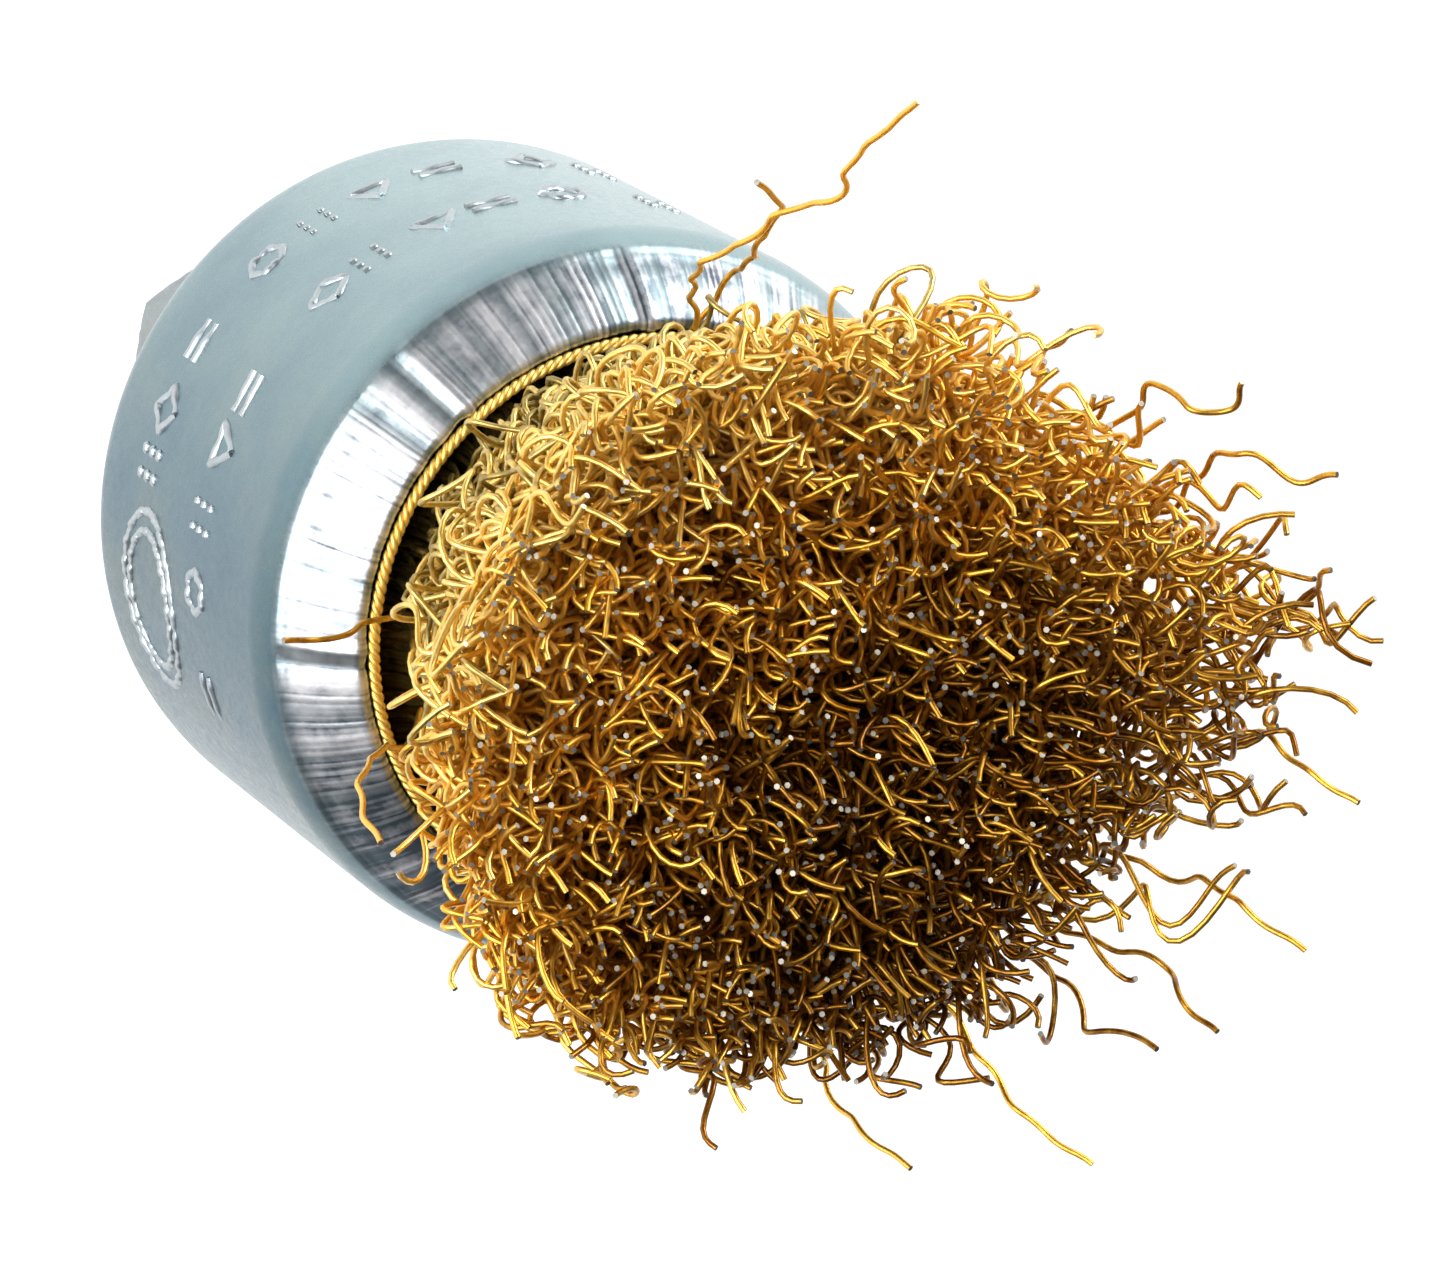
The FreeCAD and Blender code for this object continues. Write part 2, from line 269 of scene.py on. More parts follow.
def tubes(paths, radius, sides, closed=False):
    """Round tubes along many paths of equal length. Returns points, side quads and end caps.

    paths is (wires, steps, 3). The points come as (wires, steps, sides, 3).
    """
    wires, steps, _ = paths.shape
    if closed:
        tangents = unit(np.roll(paths, -1, axis=1) - np.roll(paths, 1, axis=1))
    else:
        tangents = unit(np.gradient(paths, axis=1))
    across = np.cross(tangents[:, 0], [0.31, 0.17, 0.94])
    across = unit(np.where(np.abs(across).max(-1, keepdims=True) < 0.1, [1.0, 0.0, 0.0], across))
    normals = np.empty_like(paths)
    for step in range(steps):
        tangent = tangents[:, step]
        across = unit(across - tangent * (across * tangent).sum(-1, keepdims=True))
        normals[:, step] = across
    binormals = np.cross(tangents, normals)
    turn = np.arange(sides) * 2 * math.pi / sides
    ring = normals[:, :, None] * np.cos(turn)[:, None] + binormals[:, :, None] * np.sin(turn)[:, None]
    points = paths[:, :, None] + ring * radius
    tube = grid_faces(steps, sides, wrap_rows=closed)
    starts = np.arange(wires)[:, None, None] * steps * sides
    quads = (tube[None] + starts).reshape(-1, 4)
    if closed:
        return points, quads, None, None
    roots = (np.arange(sides)[::-1][None] + starts[:, 0]).reshape(-1, sides)
    tips = (np.arange(sides)[None] + (steps - 1) * sides + starts[:, 0]).reshape(-1, sides)
    return points, quads, roots, tips


def smooth_noise(rng, count, waves):
    """A periodic random curve of count samples, made of a range of waves per turn, about one high."""
    turn = np.arange(count) * 2 * math.pi / count
    curve = np.zeros(count)
    for wave in waves:
        curve += rng.normal() * np.cos(wave * turn + rng.uniform(0, 2 * math.pi))
    return curve / math.sqrt(len(waves))


# ---------------------------------------------------------------- materials

def new_material(name):
    """A material with its node tree and Principled shader."""
    material = bpy.data.materials.new(name)
    material.use_nodes = True
    tree = material.node_tree
    return material, tree, tree.nodes["Principled BSDF"]


def add(tree, kind, settings=None, **inputs):
    """A node with its settings and inputs. An input that is a socket is linked."""
    made = tree.nodes.new(kind)
    for key, value in (settings or {}).items():
        setattr(made, key, value)
    for key, value in inputs.items():
        socket = made.inputs[int(key[1:])] if key[0] == "i" and key[1:].isdigit() else made.inputs[key]
        if isinstance(value, bpy.types.NodeSocket):
            tree.links.new(value, socket)
        else:
            socket.default_value = value
    return made


def object_noise(tree, size, detail=3.0, roughness=0.55):
    """Noise over the object with features of about size millimetres."""
    place = add(tree, "ShaderNodeTexCoord").outputs["Object"]
    noise = add(tree, "ShaderNodeTexNoise", Vector=place, Scale=1 / (size * MM), Detail=detail,
                Roughness=roughness)
    return noise.outputs["Fac"]


def ramp(tree, factor, stops):
    """A colour ramp with (position, colour) stops."""
    made = add(tree, "ShaderNodeValToRGB", Fac=factor)
    elements = made.color_ramp.elements
    while len(elements) < len(stops):
        elements.new(1.0)
    for element, (position, colour) in zip(elements, stops):
        element.position = position
        element.color = (*colour, 1.0)
    return made.outputs["Color"]


def rescale(tree, value, low, high, low_in=0.25, high_in=0.75):
    return add(tree, "ShaderNodeMapRange", Value=value, i1=low_in, i2=high_in, i3=low, i4=high).outputs[0]


def blend_colour(tree, factor, a, b):
    made = add(tree, "ShaderNodeMix", {"data_type": "RGBA"})
    for socket, value in ((made.inputs[0], factor), (made.inputs[6], a), (made.inputs[7], b)):
        if isinstance(value, bpy.types.NodeSocket):
            tree.links.new(value, socket)
        else:
            socket.default_value = value
    return made.outputs[2]


def point_value(tree, name):
    return add(tree, "ShaderNodeAttribute", {"attribute_name": name}).outputs["Fac"]


def bump(tree, height, strength, distance):
    return add(tree, "ShaderNodeBump", Height=height, Strength=strength, Distance=distance * MM).outputs[0]


def zinc_material(name, blue, pale, warm, light):
    """Blue-passivated zinc plate.

    The metal is scraped bare where the piece's swage value is high, from dark to bright with its streak
    value, which holds the die streaks and painted shade on the band. Where the light value is high the
    plate is painted towards the light colour, as painted light.
    """
    material, tree, shader = new_material(name)
    clouds = object_noise(tree, 9.0, 4.0)
    plate = ramp(tree, clouds, [(0.3, blue), (0.46, pale), (0.58, warm), (0.72, blue)])
    grain = object_noise(tree, 0.5, 5.0, 0.7)
    plate = blend_colour(tree, rescale(tree, grain, 0.0, 0.35), plate, (*[c * 0.72 for c in blue], 1.0))
    # Painted light: the plate is mixed towards the light colour by the piece's light value, broken up by the
    # clouds.
    painted_light_share = rescale(tree, clouds, 0.75, 1.25)
    painted_light_share = add(tree, "ShaderNodeMath", {"operation": "MULTIPLY"}, i0=point_value(tree, "light"),
                  i1=painted_light_share)
    plate = blend_colour(tree, painted_light_share.outputs[0], plate, (*light, 1.0))
    swage = point_value(tree, "swage")
    # The streak value holds the die streaks and painted shade on the band, and the scuff noise adds random
    # rubbing, so worn holds streaks, rubbing and painted shade together.
    scuff = rescale(tree, object_noise(tree, 1.4, 5.0, 0.65), -0.35, 0.35)
    worn = add(tree, "ShaderNodeMath", {"operation": "ADD"}, i0=point_value(tree, "streak"), i1=scuff)
    bright = ramp(tree, worn.outputs[0], [
        (0.05, (0.07, 0.08, 0.10)),
        (0.35, (0.36, 0.37, 0.40)),
        (0.75, (0.64, 0.64, 0.66)),
    ])
    colour = blend_colour(tree, swage, plate, bright)
    tree.links.new(colour, shader.inputs["Base Color"])
    rough = add(tree, "ShaderNodeMath", {"operation": "MULTIPLY_ADD"}, i0=swage, i1=0.2,
                i2=rescale(tree, grain, 0.20, 0.36))
    tree.links.new(rough.outputs[0], shader.inputs["Roughness"])
    tree.links.new(bump(tree, grain, 0.25, 0.03), shader.inputs["Normal"])
    shader.inputs["Metallic"].default_value = 0.9
    return material


def wire_material(name, roughness=0.42):
    """Brass-coated wire. Its tone value runs from a drab olive (0) through gold to dark brown (1). On the
    bundle's wires it carries painted light and shade: pale on the lit side, dark brown deep in the bundle
    and towards the face.
    """
    material, tree, shader = new_material(name)
    tone = point_value(tree, "tone")
    mottle = rescale(tree, object_noise(tree, 0.8, 3.0), -0.16, 0.16)
    mixed = add(tree, "ShaderNodeMath", {"operation": "ADD"}, i0=tone, i1=mottle).outputs[0]
    colour = ramp(tree, mixed, [
        (0.0, (0.32, 0.24, 0.07)),
        (0.3, (0.94, 0.68, 0.20)),
        (0.65, (0.92, 0.52, 0.065)),
        (1.0, (0.24, 0.09, 0.004)),
    ])
    tree.links.new(colour, shader.inputs["Base Color"])
    scratches = object_noise(tree, 0.12, 2.0)
    tree.links.new(rescale(tree, scratches, roughness - 0.07, roughness + 0.1), shader.inputs["Roughness"])
    shader.inputs["Metallic"].default_value = 1.0
    shader.inputs["Coat Weight"].default_value = 0.3
    shader.inputs["Coat Roughness"].default_value = 0.06
    return material


def steel_material(name, low, high, roughness):
    """Bare steel with a fine grain."""
    material, tree, shader = new_material(name)
    grain = object_noise(tree, 0.3, 4.0)
    tree.links.new(ramp(tree, grain, [(0.3, low), (0.7, high)]), shader.inputs["Base Color"])
    tree.links.new(rescale(tree, grain, roughness - 0.06, roughness + 0.08), shader.inputs["Roughness"])
    shader.inputs["Metallic"].default_value = 1.0
    return material


# ---------------------------------------------------------------- cup

def arc(centre, radius, start, end, steps):
    """Points of an arc in the (radius, height) plane."""
    turn = np.linspace(start, end, steps)
    return np.stack([centre[0] + radius * np.cos(turn), centre[1] + radius * np.sin(turn)], axis=-1)


def line(start, end, steps, bulge=0.0):
    """Points of a line without its ends, bulging to the right of its direction if asked."""
    start, end = np.asarray(start), np.asarray(end)
    share = np.linspace(0, 1, steps + 2)[1:-1, None]
    right = unit(end - start)[::-1] * [1, -1]
    return start * (1 - share) + end * share + right * bulge * 4 * share * (1 - share)


def cup_profile():
    """The closed outline of the cup's sheet, and how much of each point is swaged bright."""
    quarter = math.pi / 2
    bend = (CUP_R - BACK_BEND_R, CUP_BACK + BACK_BEND_R)
    edge_r = SHEET / 2
    lip = (MOUTH_R + edge_r, CUP_LIP - edge_r)
    cone_r = CUP_R - SHOULDER_R * (1 - math.cos(SWAGE_ANGLE)) - lip[0] - edge_r * math.cos(SWAGE_ANGLE)
    cone_top = lip[1] + edge_r * math.sin(SWAGE_ANGLE)
    shoulder = (CUP_R - SHOULDER_R,
                cone_top - cone_r / math.tan(SWAGE_ANGLE) - SHOULDER_R * math.sin(SWAGE_ANGLE))
    outer_bend = arc(bend, BACK_BEND_R, -quarter, 0, 10)
    outer_shoulder = arc(shoulder, SHOULDER_R, 0, SWAGE_ANGLE, 16)
    lip_round = arc(lip, edge_r, SWAGE_ANGLE, SWAGE_ANGLE + math.pi, 10)
    inner_shoulder = arc(shoulder, SHOULDER_R - SHEET, SWAGE_ANGLE, 0, 5)
    inner_bend = arc(bend, BACK_BEND_R - SHEET, 0, -quarter, 5)
    parts = [
        np.array([(CUP_HOLE_R, CUP_BACK)]),
        line((CUP_HOLE_R, CUP_BACK), outer_bend[0], 4),
        outer_bend,
        line(outer_bend[-1], outer_shoulder[0], 12),
        outer_shoulder,
        line(outer_shoulder[-1], lip_round[0], 12, SWAGE_BULGE),
        lip_round,
        inner_shoulder,
        line(inner_shoulder[-1], inner_bend[0], 2),
        inner_bend,
        np.array([(CUP_HOLE_R, CUP_BACK + SHEET)]),
    ]
    band = [0.0] * sum(len(part) for part in parts[:4])
    band += list(np.clip((np.linspace(0, 1, len(outer_shoulder)) - 0.6) / 0.4, 0, 1))
    band += [1.0] * (len(parts[5]) + len(lip_round) - 2)
    band += [0.0] * (sum(len(part) for part in parts) - len(band))
    return np.concatenate(parts), np.array(band)


def mark_strokes(shape):
    """Strokes of a mark as lists of (along, up) points in millimetres."""
    if shape == "pips":
        return [[(x - 0.12, y), (x + 0.12, y)] for x in (-0.55, 0.55) for y in (-0.8, 0.0, 0.8)]
    if shape == "dash":
        return [[(-1.0, 0.45), (1.0, 0.45)], [(-1.0, -0.45), (1.0, -0.45)]]
    corners, reach, start = POLYGONS[shape]
    turns = [math.radians(start + 360 * corner / corners) for corner in range(corners + 1)]
    return [[(reach * math.cos(turn), reach * math.sin(turn)) for turn in turns]]


def wall_mark(stroke, azimuth, height):
    """A stroke's tube on the cup wall, sunk so that only its uneven crest stands out."""
    stroke = np.asarray(stroke, float) * MARK_SCALE
    share = np.linspace(0, len(stroke) - 1, 8 * (len(stroke) - 1) + 1)
    along = np.interp(share, np.arange(len(stroke)), stroke[:, 0])
    up = np.interp(share, np.arange(len(stroke)), stroke[:, 1])
    turn = math.radians(azimuth) + along / CUP_R
    uneven = 0.05 * np.sin(share * 5.1 + azimuth) + 0.03 * np.sin(share * 11.7 + 2.0 * azimuth)
    radius = CUP_R + MARK_STAND - MARK_R + uneven
    return np.stack([radius * np.cos(turn), radius * np.sin(turn), height + up], axis=-1)


def cup_marks():
    """Points, quads and caps of every raised mark on the wall."""
    paths = []
    for marks, height in ((LOWER_MARKS, 23.0), (UPPER_MARKS, 31.0)):
        for shape, azimuth in marks:
            paths += [wall_mark(stroke, azimuth, height) for stroke in mark_strokes(shape)]
    turn = np.linspace(0, 2 * math.pi, 49)
    for scale in (1.0, 0.78):
        oval = np.stack([4.0 * scale * np.cos(turn), 3.0 * scale * np.sin(turn)], axis=-1)
        paths.append(wall_mark(oval[::2], OVAL_AZIMUTH, OVAL_HEIGHT))
    points, faces, start = [], [], 0
    for path in paths:
        tube_points, quads, roots, tips = tubes(path[None], MARK_R, 10)
        points.append(tube_points.reshape(-1, 3))
        faces += [(quads + start, 0), (roots + start, 0), (tips + start, 0)]
        start += len(points[-1])
    return np.concatenate(points), faces


def make_cup(material):
    """The drawn cup with the marks of the swaging dies round its mouth."""
    rng = np.random.default_rng(SEED)
    profile, band = cup_profile()
    azimuth = np.arange(CUP_COLUMNS) * 2 * math.pi / CUP_COLUMNS
    away = unit(np.gradient(profile, axis=0))[:, ::-1] * [1, -1]
    striations = smooth_noise(rng, CUP_COLUMNS, range(60, 460, 7))
    broad = smooth_noise(rng, CUP_COLUMNS, range(9, 60, 4))
    wall = smooth_noise(rng, CUP_COLUMNS, range(2, 9))
    ridges = np.zeros(CUP_COLUMNS)
    for edge in DIE_EDGES:
        apart = apart_from(azimuth, edge)
        ridges += np.exp(-(apart / 0.022) ** 2) - 0.6 * np.exp(-((apart - 0.05) / 0.02) ** 2)
    sunk = np.where(band > 0.5, -0.06, 0.0)
    height = band[:, None] * (0.009 * striations + 0.015 * broad + 0.10 * ridges) + sunk[:, None]
    height = height + 0.02 * wall
    radius = profile[:, :1] + away[:, :1] * height
    level = profile[:, 1:] + away[:, 1:] * height
    points = np.stack([radius * np.cos(azimuth), radius * np.sin(azimuth), level + 0 * radius], axis=-1)
    swage = band[:, None] * (0.75 + 0.25 * np.clip(broad, -1, 1))
    mark_points, mark_faces = cup_marks()
    start = swage.size
    faces = [(grid_faces(len(profile), CUP_COLUMNS, True), 0)]
    faces += [(corners + start, index) for corners, index in mark_faces]
    points = np.concatenate([points.reshape(-1, 3), mark_points])
    swage = np.concatenate([swage.ravel(), np.full(len(mark_points), 0.5)])
    # Painted shade on the swaged band: its bare metal is painted darker round azimuths 45 and 207, on top of
    # the real die streaks.
    painted_band_shade = 0.9 * np.clip(np.cos(azimuth - math.radians(45)), 0, 1)
    painted_band_shade += 0.45 * np.exp(-((azimuth - math.radians(207)) / 0.35) ** 2)
    streak = np.broadcast_to(0.58 + 0.2 * striations + 0.1 * broad - painted_band_shade, (len(profile), CUP_COLUMNS))
    streak = np.concatenate([streak.ravel(), np.full(len(mark_points), 0.8)])
    # Painted light and shade on the wall: the light value is 0 round azimuth -45 and rises to 1 away from it,
    # so the plate is painted darker there and lighter elsewhere. The marks get 0.5.
    from_painted_shade = apart_from(azimuth, -45)
    light = 1 - np.exp(-(from_painted_shade / np.where(from_painted_shade < 0, math.radians(60), math.radians(80))) ** 2)
    light = np.broadcast_to(light, (len(profile), CUP_COLUMNS))
    light = np.concatenate([light.ravel(), np.full(len(mark_points), 0.5)])
    make_piece("cup_shell_formed", points, faces, [material], "cup_zinc", ["cup_shell"], swage=swage,
               streak=streak, light=light)


# ---------------------------------------------------------------- nut

def make_nut(material):
    """The hexagonal nut with chamfered corners, its spigot and the thread inside."""
    azimuth = np.arange(NUT_COLUMNS) * 2 * math.pi / NUT_COLUMNS
    to_flat = np.abs((azimuth + math.pi / 6) % (math.pi / 3) - math.pi / 6)
    hexagon = NUT_FLAT_R / np.cos(to_flat)
    corner_r = NUT_FLAT_R / math.cos(math.pi / 6)
    hexagon = np.minimum(hexagon, corner_r - 0.12)
    nut_top = CUP_BACK
    stake_top = NUT_HIGH.z
    chamfer_r = corner_r - NUT_CHAMFER
    slope = math.tan(math.radians(30))
    rows = [(np.full(NUT_COLUMNS, REAR_RECESS_R), 0.0)]
    for level in (0.0, 0.12, 0.3, 0.5, 0.7, 0.92, 1.3, 4.0, 8.0, 12.0):
        limit = chamfer_r + level / slope - (0.1 if level == 0.0 else 0.0)
        rows.append((np.minimum(hexagon, limit), level))
    for rise in (1.3, 0.92, 0.7, 0.5, 0.3, 0.12, 0.0):
        rows.append((np.minimum(hexagon, chamfer_r + rise / slope), nut_top - rise))
    for r, level in ((SPIGOT_R, nut_top), (SPIGOT_R, stake_top - STAKE_HEIGHT),
                     (STAKE_R, stake_top - STAKE_HEIGHT), (STAKE_R, stake_top - 0.35),
                     (STAKE_R - 0.4, stake_top), (STAKE_BORE_R, stake_top)):
        rows.append((np.full(NUT_COLUMNS, r), level))
    thread_rows = int((stake_top - 0.8) / THREAD_PITCH * THREAD_STEPS)
    for step in range(thread_rows, -1, -1):
        level = 0.4 + step * THREAD_PITCH / THREAD_STEPS
        phase = (level / THREAD_PITCH - azimuth / (2 * math.pi)) % 1.0
        groove = np.clip(2.4 * np.minimum(phase, 1 - phase) - 0.15, 0, 0.9)
        fade = min(1.0, (level + 0.2) / 1.2)
        lead_in = max(0.0, 1.1 - level) * 0.8
        rows.append((THREAD_R + THREAD_DEPTH * groove * fade + lead_in, level))
    radius = np.stack([row[0] for row in rows])
    level = np.array([row[1] for row in rows])[:, None]
    points = np.stack([radius * np.cos(azimuth), radius * np.sin(azimuth), level + 0 * radius], axis=-1)
    faces = grid_faces(len(rows), NUT_COLUMNS, True)
    none = np.zeros(points.shape[:2])
    make_piece("hex_nut_threaded", points, [(faces, 0)], [material], "nut_zinc", ["hex_nut"],
               smooth_angle=28.0, swage=none, streak=none, light=none)


# ---------------------------------------------------------------- mouth ring

def make_mouth_ring(material):
    """Brass-coated strands twisted round each other, lying inside the lip."""
    turn = np.arange(RING_STEPS) * 2 * math.pi / RING_STEPS
    paths = []
    for strand in range(RING_STRANDS):
        twist = RING_TWISTS * turn + strand * 2 * math.pi / RING_STRANDS
        radius = MOUTH_R - RING_INSET + RING_TWIST_R * np.cos(twist)
        level = CUP_LIP - RING_DROP + RING_TWIST_R * np.sin(twist)
        paths.append(np.stack([radius * np.cos(turn), radius * np.sin(turn), level], axis=-1))
    points, quads, _, _ = tubes(np.array(paths), RING_STRAND_R, 8, closed=True)
    tone = np.full(points.shape[:3], 0.35)
    make_piece("mouth_ring_twisted", points, [(quads, 0)], [material], "binding_wire", ["mouth_ring"],
               tone=tone)


# ---------------------------------------------------------------- wires

def smoothstep(value):
    value = np.clip(value, 0, 1)
    return value * value * (3 - 2 * value)


def wire_paths(share, azimuth, tip, swing, lean, sweep, rng):
    """Centre lines of crimped wires.

    share is the part of the bundle's radius, tip the height, swing the crimp's reach, lean the outward
    shift at the face and sweep the sideways angle there.
    """
    count = len(share)
    inside = np.array([PLATE_TOP + 0.1, BELLY_TOP, 37.0])
    steps = int((FACE_HEIGHT - CUP_LIP + 4.5) / CRIMP_LENGTH * CRIMP_STEPS)
    start = CUP_LIP - 3.0
    level = np.concatenate([np.broadcast_to(inside, (count, 3)),
                            start + (tip[:, None] - start) * np.linspace(0, 1, steps)], axis=1)
    neck = CUP_LIP - 1.0
    outline_azimuth, outline_r = np.array(FACE_OUTLINE, float).T
    edge_r = np.interp(np.degrees(azimuth), outline_azimuth, outline_r, period=360)
    face_r = (FACE_R + (edge_r - FACE_R) * share ** 2)[:, None]
    gap = np.exp(-(apart_from(azimuth, GAP_AZIMUTH) / GAP_SPREAD) ** 2)[:, None]
    neck_r = NECK_R - GAP_WIDTH * gap
    flare = np.clip((level - neck) / (FACE_HEIGHT - neck), 0, None) ** (1 + 0.5 * gap)
    radius = np.where(level < neck,
                      BELLY_R + (neck_r - BELLY_R) * smoothstep((level - BELLY_TOP) / (neck - BELLY_TOP)),
                      neck_r + (face_r - neck_r) * flare)
    free = smoothstep((level - CUP_LIP + 3) / 10)
    far = np.clip((level - CUP_LIP) / (FACE_HEIGHT - CUP_LIP), 0, 1.3)
    radial = share[:, None] * radius + lean[:, None] * far ** 2
    turn = azimuth[:, None] + sweep[:, None] * np.sin(far * 2.2)
    path = np.stack([radial * np.cos(turn), radial * np.sin(turn), level], axis=-1)
    out = np.stack([np.cos(turn), np.sin(turn), 0 * turn], axis=-1)
    side = np.stack([-np.sin(turn), np.cos(turn), 0 * turn], axis=-1)
    phase = rng.uniform(0, 2 * math.pi, (count, 1))
    pace = rng.normal(1.0, 0.07, (count, 1))
    plane = rng.uniform(0, 2 * math.pi, (count, 1)) + rng.normal(0, 0.09, (count, 1)) * (level - CUP_LIP)
    wave = swing[:, None] * np.sin(phase + level * pace * 2 * math.pi / CRIMP_LENGTH) * (0.25 + 0.75 * free)
    path += out * (wave * np.cos(plane))[..., None] + side * (wave * np.sin(plane))[..., None]
    pace = rng.uniform(1.0, 1.6, (count, 1))
    wave = 0.9 * swing[:, None] * np.sin(phase * 7 + level * 2 * math.pi / (CRIMP_LENGTH * pace)) * free
    path += side * (wave * np.cos(plane))[..., None] - out * (wave * np.sin(plane))[..., None]
    for direction in (out, side):
        drift = rng.normal(0, 0.8, (count, 1))
        slow = rng.uniform(8, 16, (count, 1))
        shift = rng.uniform(0, 2 * math.pi, (count, 1))
        tilt = rng.normal(0, 0.8, (count, 1))
        bend = free * drift * np.sin(shift + level * 2 * math.pi / slow) + tilt * far
        path += direction * bend[..., None]
    return path


def kept_inside(path):
    """The paths with whatever would stand outside the CAD box bent back towards it."""
    for axis, low, high in ((0, cad_box[0][0], cad_box[1][0]), (1, cad_box[0][1], cad_box[1][1])):
        middle = (low + high) / 2 / MM
        reach = (high - low) / 2 / MM - 1.2
        offset = path[..., axis] - middle
        excess = np.maximum(np.abs(offset) - reach, 0)
        kept = np.minimum(np.abs(offset), reach) + 1.8 * np.tanh(excess / 1.8)
        path[..., axis] = middle + np.sign(offset) * kept
    return path


def bundle_names(share, azimuth):
    """The CAD tuft that each wire belongs to."""
    names = []
    for part, angle in zip(share, azimuth % (2 * math.pi)):
        if part < CENTRE_SHARE:
            names.append("centre_tuft")
        elif part < INNER_SHARE:
            names.append("inner_tuft_%02d" % (int(angle / (2 * math.pi) * INNER_TUFTS) + 1))
        else:
            names.append("outer_tuft_%02d" % (int(angle / (2 * math.pi) * OUTER_TUFTS) + 1))
    return np.array(names)


def make_wires(brass, ends):
    """Every wire of the bundle, one piece for each tuft.

    The outermost wires are combed sideways over the others, and the fringe stands out of the bundle.
    """
    rng = np.random.default_rng(SEED + 1)
    even = (np.arange(WIRE_COUNT) + 0.5) / WIRE_COUNT
    share = np.sqrt(even) + rng.normal(0, 0.008, WIRE_COUNT)
    azimuth = np.arange(WIRE_COUNT) * math.pi * (3 - math.sqrt(5)) + rng.normal(0, 0.02, WIRE_COUNT)
    combed = slice(WIRE_COUNT, WIRE_COUNT + COMBED_COUNT)
    fringe = slice(WIRE_COUNT + COMBED_COUNT, None)
    extra = COMBED_COUNT + FRINGE_COUNT
    share = np.clip(np.concatenate([share, rng.uniform(0.88, 1.0, extra)]), 0.01, 1.0)
    azimuth = np.concatenate([azimuth, rng.uniform(0, 2 * math.pi, extra)])
    count = len(share)
    worn = np.exp(-(apart_from(azimuth, WORN_AZIMUTH) / 0.75) ** 2)
    raised = FACE_LEAN * np.cos(azimuth - math.radians(FACE_LEAN_AZIMUTH)) - WORN_DEPTH * worn
    tip = FACE_HEIGHT + raised * share
    tip += rng.normal(0, 0.45, count)
    tip[fringe] += rng.uniform(-1.0, 2.6, FRINGE_COUNT)
    swing = CRIMP_SWING * rng.uniform(0.75, 1.25, count)
    lean = rng.normal(0, 0.35, count)
    reach = 0.5 + 0.5 * np.cos(azimuth - math.radians(130))
    lean[fringe] += rng.uniform(0.2, 1.0, FRINGE_COUNT) * (1.1 + 2.0 * reach[fringe])
    sweep = rng.normal(0, 0.06, count) * np.clip(share * 2, 0, 1)
    sweep[combed] = rng.normal(0, 0.42, COMBED_COUNT)
    paths = kept_inside(wire_paths(share, azimuth, tip, swing, lean, sweep, rng))
    # Painted light and shade in the tone: outer wires towards azimuth -110 are painted pale as if lit, and
    # inner wires are painted dark brown as the shade between the wires. Only the random part is the wires'
    # own tone.
    lit_side_painted_light = 0.5 + 0.5 * np.cos(azimuth + math.radians(110))
    tone = 0.97 - 0.92 * lit_side_painted_light * share ** 1.1 + rng.normal(0, 0.14, count)
    names = bundle_names(share, azimuth)
    for name in sorted(set(names)):
        chosen = names == name
        points, quads, roots, tips = tubes(paths[chosen], WIRE_R, WIRE_SIDES)
        # Painted shade: the tone is pushed towards dark brown up towards the face, and lowered by 0.1 at and
        # below the lip.
        height = np.clip((points[..., 2] / CUP_LIP - 1) * 2, 0, 1)
        tones = tone[chosen][:, None, None]
        tones = tones + 0.28 * height * (1 - tones) - 0.1 * (1 - height)
        make_piece(name.replace("tuft", "wires"), points, [(quads, 0), (roots, 1), (tips, 1)],
                   [brass, ends], "brass_wire", [name], smooth_angle=75.0,
                   chart=tube_chart(*points.shape[:3]), tone=tones)


def smooth_curve(knots, steps):
    """A curve through the knots with steps points for each span."""
    knots = np.concatenate([[2 * knots[0] - knots[1]], knots, [2 * knots[-1] - knots[-2]]])
    share = np.linspace(0, 1, steps, endpoint=False)[:, None]
    spans = []
    for a, b, c, d in zip(knots, knots[1:], knots[2:], knots[3:]):
        spans.append(0.5 * (2 * b + (c - a) * share + (2 * a - 5 * b + 4 * c - d) * share ** 2
                            + (3 * b - a - 3 * c + d) * share ** 3))
    return np.concatenate(spans + [knots[-2][None]])


def make_strays(brass, ends):
    """The wires that have sprung out of the bundle, one piece each."""
    rng = np.random.default_rng(SEED + 2)
    for number, route in enumerate(STRAY_ROUTES, 1):
        radius, azimuth, level = np.array(route).T
        azimuth = np.radians(azimuth)
        path = smooth_curve(np.stack([radius * np.cos(azimuth), radius * np.sin(azimuth), level], axis=-1), 9)
        length = np.concatenate([[0], np.cumsum(np.linalg.norm(np.diff(path, axis=0), axis=1))])
        fade = np.sin(math.pi * np.clip(length / length[-1], 0, 1)) ** 0.5
        for axis in range(3):
            path[:, axis] += 0.14 * fade * np.sin(length * 2 * math.pi / 3.4 + rng.uniform(0, 6.3))
        points, quads, roots, tips = tubes(path[None], WIRE_R, 10)
        tones = np.full(points.shape[:3], rng.uniform(0.55, 0.95))
        make_piece("stray_strand_%02d" % number, points, [(quads, 0), (roots, 1), (tips, 1)],
                   [brass, ends], "brass_wire", ["stray_wire_%02d" % number], smooth_angle=75.0,
                   chart=tube_chart(*points.shape[:3]), tone=tones)


# ---------------------------------------------------------------- stage, light and camera

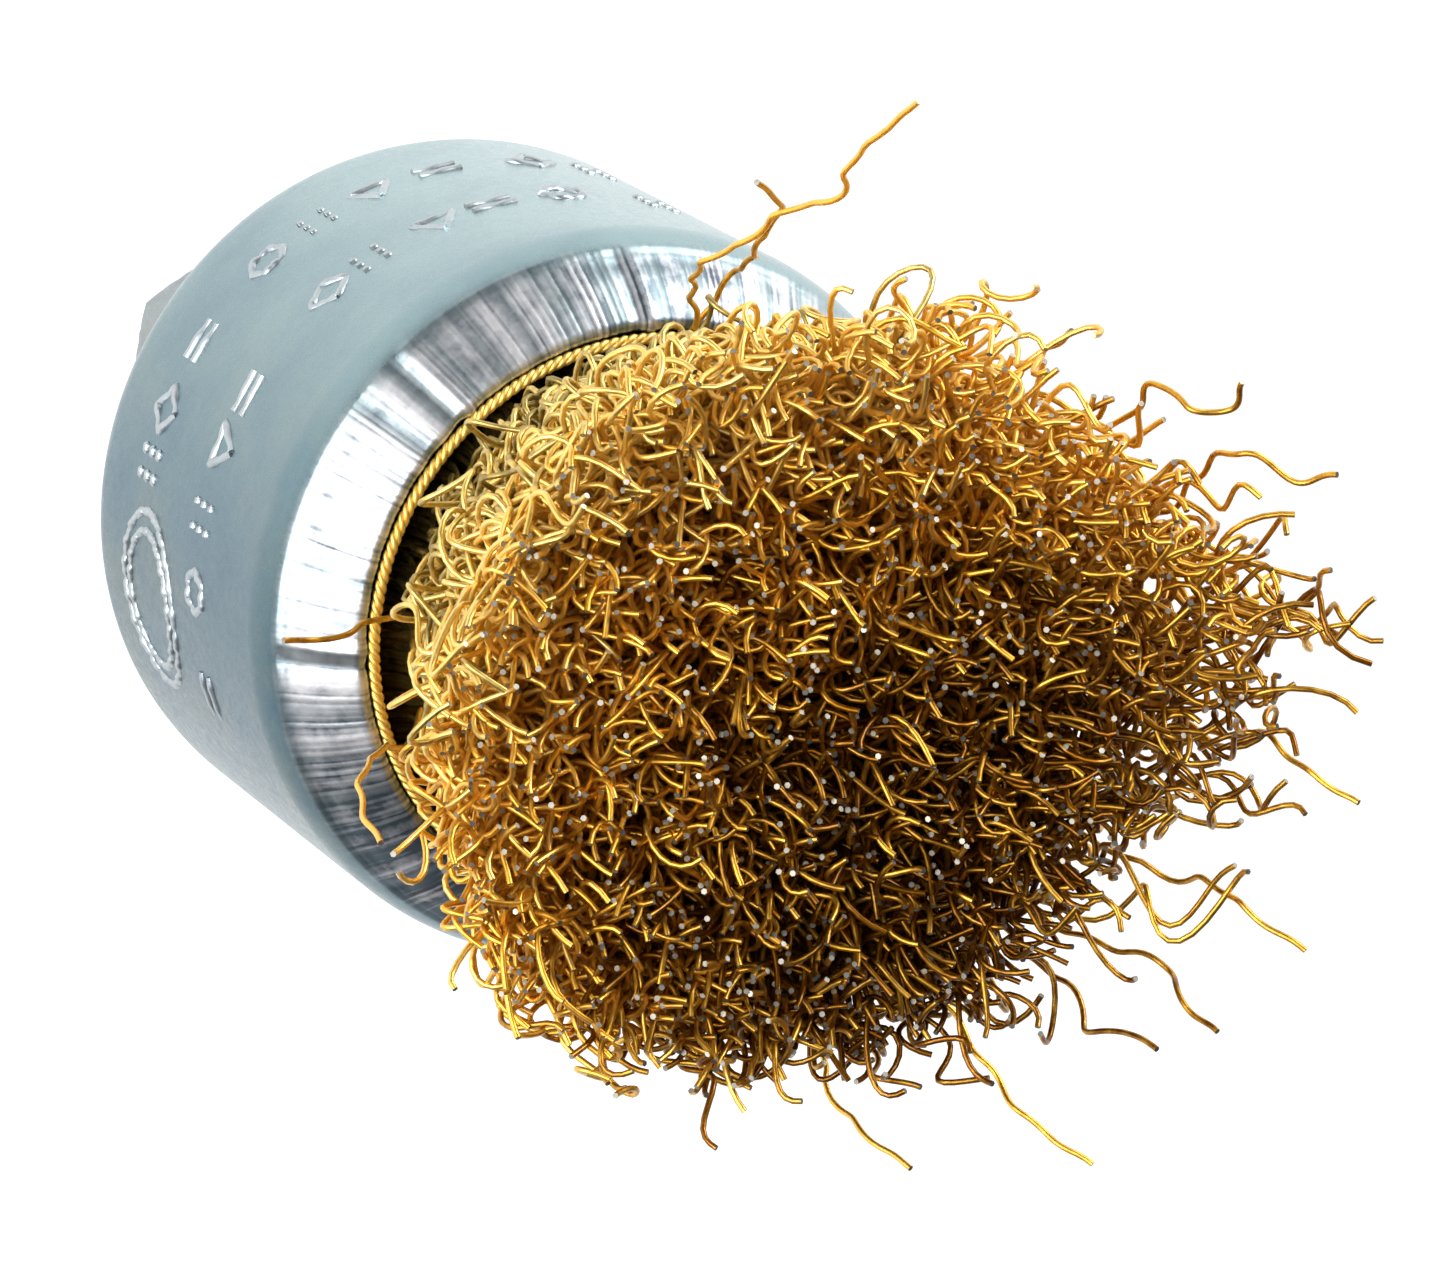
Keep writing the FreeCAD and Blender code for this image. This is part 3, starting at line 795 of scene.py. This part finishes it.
def make_stage():
    """A pale floor under the nut. Its glow lights the brush only from nearby."""
    material, tree, shader = new_material("stage_floor")
    shader.inputs["Base Color"].default_value = (0.45, 0.45, 0.45, 1.0)
    shader.inputs["Roughness"].default_value = 0.8
    shader.inputs["Emission Color"].default_value = (1.0, 1.0, 1.0, 1.0)
    place = add(tree, "ShaderNodeTexCoord").outputs["Object"]
    reach = add(tree, "ShaderNodeVectorMath", {"operation": "LENGTH"}, i0=place).outputs["Value"]
    glow = rescale(tree, reach, 0.80, 0.15, 0.10, 0.22)
    seen = add(tree, "ShaderNodeLightPath").outputs["Is Camera Ray"]
    glow = add(tree, "ShaderNodeMath", {"operation": "MAXIMUM"}, i0=glow,
               i1=rescale(tree, seen, 0.0, 0.75, 0.0, 1.0))
    tree.links.new(glow.outputs[0], shader.inputs["Emission Strength"])
    mesh = bpy.data.meshes.new("floor")
    half = 6.0
    mesh.from_pydata([(-half, -half, 0), (half, -half, 0), (half, half, 0), (-half, half, 0)], [],
                     [(0, 1, 2, 3)])
    mesh.materials.append(material)
    floor = bpy.data.objects.new("floor", mesh)
    bpy.context.scene.collection.objects.link(floor)


def add_light(name, direction, distance, width, height, power):
    """A rectangular soft light that faces the middle of the brush."""
    data = bpy.data.lights.new(name, "AREA")
    data.shape = "RECTANGLE"
    data.size = width
    data.size_y = height
    data.energy = power
    light = bpy.data.objects.new(name, data)
    light.visible_camera = False
    target = Vector(VIEW_TARGET) * MM
    direction = Vector(direction).normalized()
    light.location = target + direction * distance
    light.rotation_euler = direction.to_track_quat("Z", "Y").to_euler()
    bpy.context.scene.collection.objects.link(light)


def make_world():
    """Pale to the camera, and dim as light."""
    world = bpy.data.worlds.new("studio")
    world.use_nodes = True
    tree = world.node_tree
    background = tree.nodes["Background"]
    path = add(tree, "ShaderNodeLightPath").outputs["Is Camera Ray"]
    colour = blend_colour(tree, path, (0.06, 0.06, 0.065, 1.0), (0.9, 0.9, 0.9, 1.0))
    tree.links.new(colour, background.inputs["Color"])
    bpy.context.scene.world = world


def make_camera():
    """The camera, looking at the face with the brush axis pointing down to the right."""
    sin_tilt, cos_tilt = math.sin(VIEW_TILT), math.cos(VIEW_TILT)
    sin_roll, cos_roll = math.sin(VIEW_ROLL), math.cos(VIEW_ROLL)
    back = Vector((0, -sin_tilt, cos_tilt))
    right = Vector((-sin_roll, cos_tilt * cos_roll, sin_tilt * cos_roll))
    up = back.cross(right)
    data = bpy.data.cameras.new("camera")
    data.sensor_width = LENS_WIDTH
    data.lens = LENS_LENGTH
    data.clip_start = 0.01
    camera = bpy.data.objects.new("camera", data)
    matrix = Matrix((right, up, back)).transposed().to_4x4()
    matrix.translation = (Vector(VIEW_TARGET) + back * VIEW_DISTANCE) * MM
    camera.matrix_world = matrix
    bpy.context.scene.collection.objects.link(camera)
    bpy.context.scene.camera = camera


# The last colour of each zinc plate is the painted light colour that the light value mixes in.
zinc = zinc_material("cup_zinc_plate", (0.075, 0.14, 0.185), (0.10, 0.165, 0.20), (0.13, 0.18, 0.185),
                     (0.31, 0.42, 0.435))
nut_zinc = zinc_material("nut_zinc_plate", (0.22, 0.26, 0.28), (0.28, 0.31, 0.31), (0.31, 0.31, 0.29),
                         (0.40, 0.42, 0.42))
brass = wire_material("brass_coated_wire")
ring_brass = wire_material("binding_brass", 0.5)
ends = steel_material("cut_wire_ends", (0.26, 0.25, 0.21), (0.44, 0.42, 0.36), 0.5)
inner_steel = steel_material("rolled_steel", (0.28, 0.28, 0.29), (0.46, 0.46, 0.47), 0.45)

make_cup(zinc)
make_nut(nut_zinc)
make_mouth_ring(ring_brass)
make_wires(brass, ends)
make_strays(brass, ends)
for node_name in ("backing_washer", "clamp_plate", "retaining_ring", "core_ring"):
    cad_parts[node_name].material_slots[0].material = inner_steel

make_stage()
make_world()
make_camera()
add_light("wide_light", (0.42, -0.83, 0.36), 0.6, 0.60, 0.26, 0.85)
add_light("key_light", (0.38, -0.87, 0.28), 0.6, 0.62, 0.14, 3.2)
add_light("side_light", (-0.96, 0.10, 0.25), 0.6, 0.40, 0.22, 4.4)
add_light("face_light", (0.20, -0.62, 0.76), 0.6, 0.25, 0.20, 1.7)

bpy.context.scene.view_settings.view_transform = "Standard"
